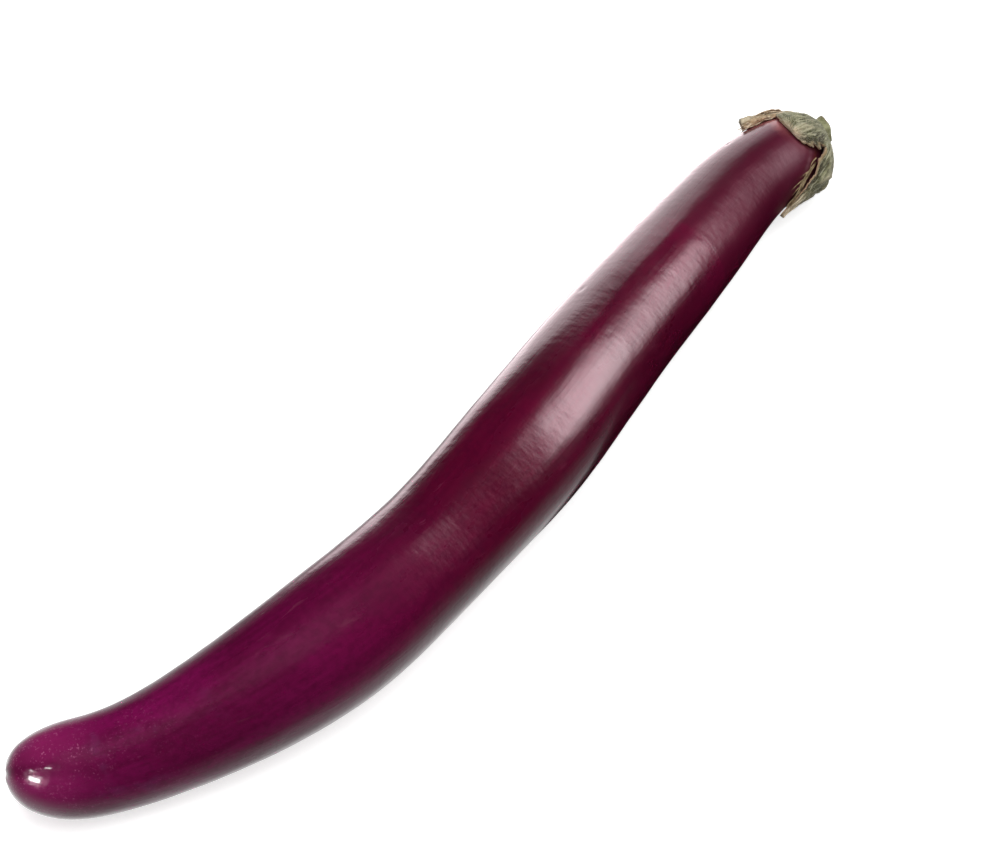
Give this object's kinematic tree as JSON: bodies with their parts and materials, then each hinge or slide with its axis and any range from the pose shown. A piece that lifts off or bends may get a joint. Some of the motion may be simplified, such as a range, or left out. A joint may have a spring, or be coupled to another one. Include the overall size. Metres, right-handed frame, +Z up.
{
  "type": "eggplant",
  "caption": "Long slender eggplant lying on its side, gently curved, with a rounded blossom end, a withered calyx of pointed sepals and a short cut stem stub.",
  "frame": {"origin": "on the surface the fruit rests on, under the middle of its box", "axes": "+X along the fruit from the blossom end to the stem, +Z up"},
  "size_m": [0.3388, 0.0622, 0.0411],
  "materials": {
    "skin": "smooth waxy skin, glossy, deep purple-red",
    "calyx": "dull, dry and fibrous, grey-green with tan edges",
    "stem": "dull and ridged, green-grey, with a paler cut end"
  },
  "bodies": {
    "root": {"fruit": "skin", "calyx": "calyx", "stem": "stem"}
  },
  "joints": []
}
